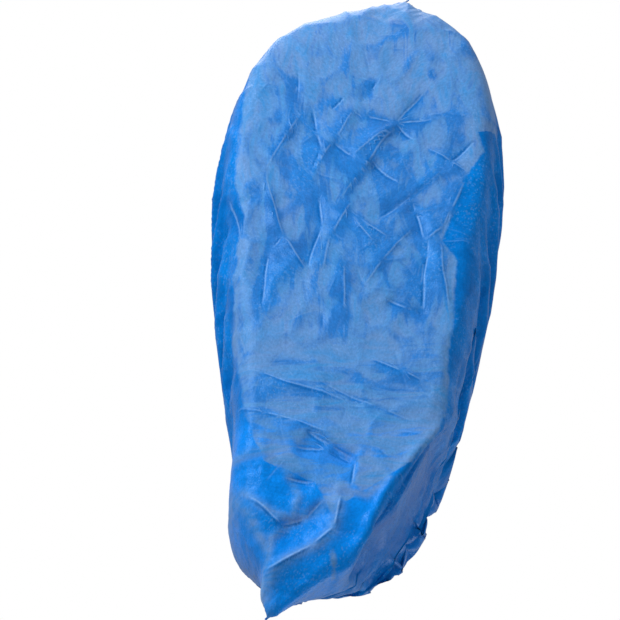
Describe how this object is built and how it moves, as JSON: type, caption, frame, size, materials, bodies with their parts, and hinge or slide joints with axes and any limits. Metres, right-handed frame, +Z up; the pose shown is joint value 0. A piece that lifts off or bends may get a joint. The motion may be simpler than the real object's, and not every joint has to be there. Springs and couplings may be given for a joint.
{
  "type": "disposable shoe cover",
  "caption": "Thin film overshoe in its worn form, with a gathered elastic ankle opening, welded ends and corners that stick out at the toe and heel.",
  "frame": {"origin": "middle of the film's inner face under the foot, where the sole of a shoe presses on it", "axes": "+Z up out of the ankle opening, -Y to the toe, +Y to the heel, +X to the right of someone who looks from behind the heel to the toe, with the sole down"},
  "size_m": [0.1509, 0.364, 0.112],
  "materials": {
    "embossed_film": "thin blue embossed CPE film, half gloss, slightly see-through",
    "hem_film": "the same film, doubled over and gathered",
    "white_elastic": "matt white covered elastic"
  },
  "bodies": {
    "root": {"film_body": "embossed_film", "hem_tunnel": "hem_film", "elastic_cord": "white_elastic", "toe_weld": "embossed_film", "heel_weld": "embossed_film"}
  },
  "joints": []
}
